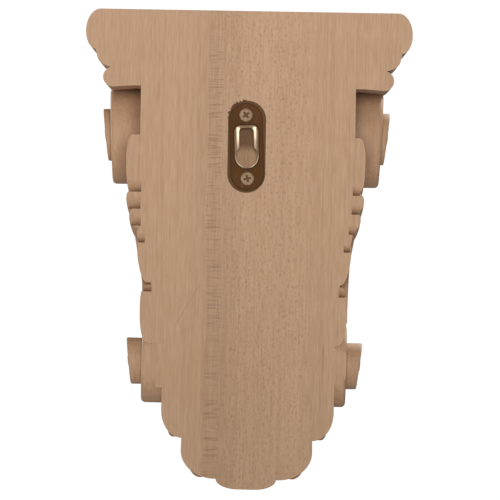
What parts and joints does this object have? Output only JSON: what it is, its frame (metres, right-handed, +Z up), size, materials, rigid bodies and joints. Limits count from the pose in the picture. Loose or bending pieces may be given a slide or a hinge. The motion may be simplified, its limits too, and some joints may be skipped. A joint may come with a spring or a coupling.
{
  "type": "carved wooden corbel",
  "caption": "Carved hardwood corbel bracket with a moulded cap, scrolled console, leaf carving and a keyhole hanger sunk in its flat back.",
  "frame": {"origin": "on the flat back face, at mid width and mid height", "axes": "+Z up, +Y out of the back towards the wall, -Y to the carved front, +X to the right seen from the front"},
  "size_m": [0.156, 0.114, 0.2285],
  "materials": {
    "wood": "unfinished, sanded",
    "plate_steel": "bronze-coated",
    "screw_steel": "plated"
  },
  "bodies": {
    "root": {"corbel": "wood", "hanger_plate": "plate_steel", "upper_screw": "screw_steel", "lower_screw": "screw_steel"}
  },
  "joints": []
}
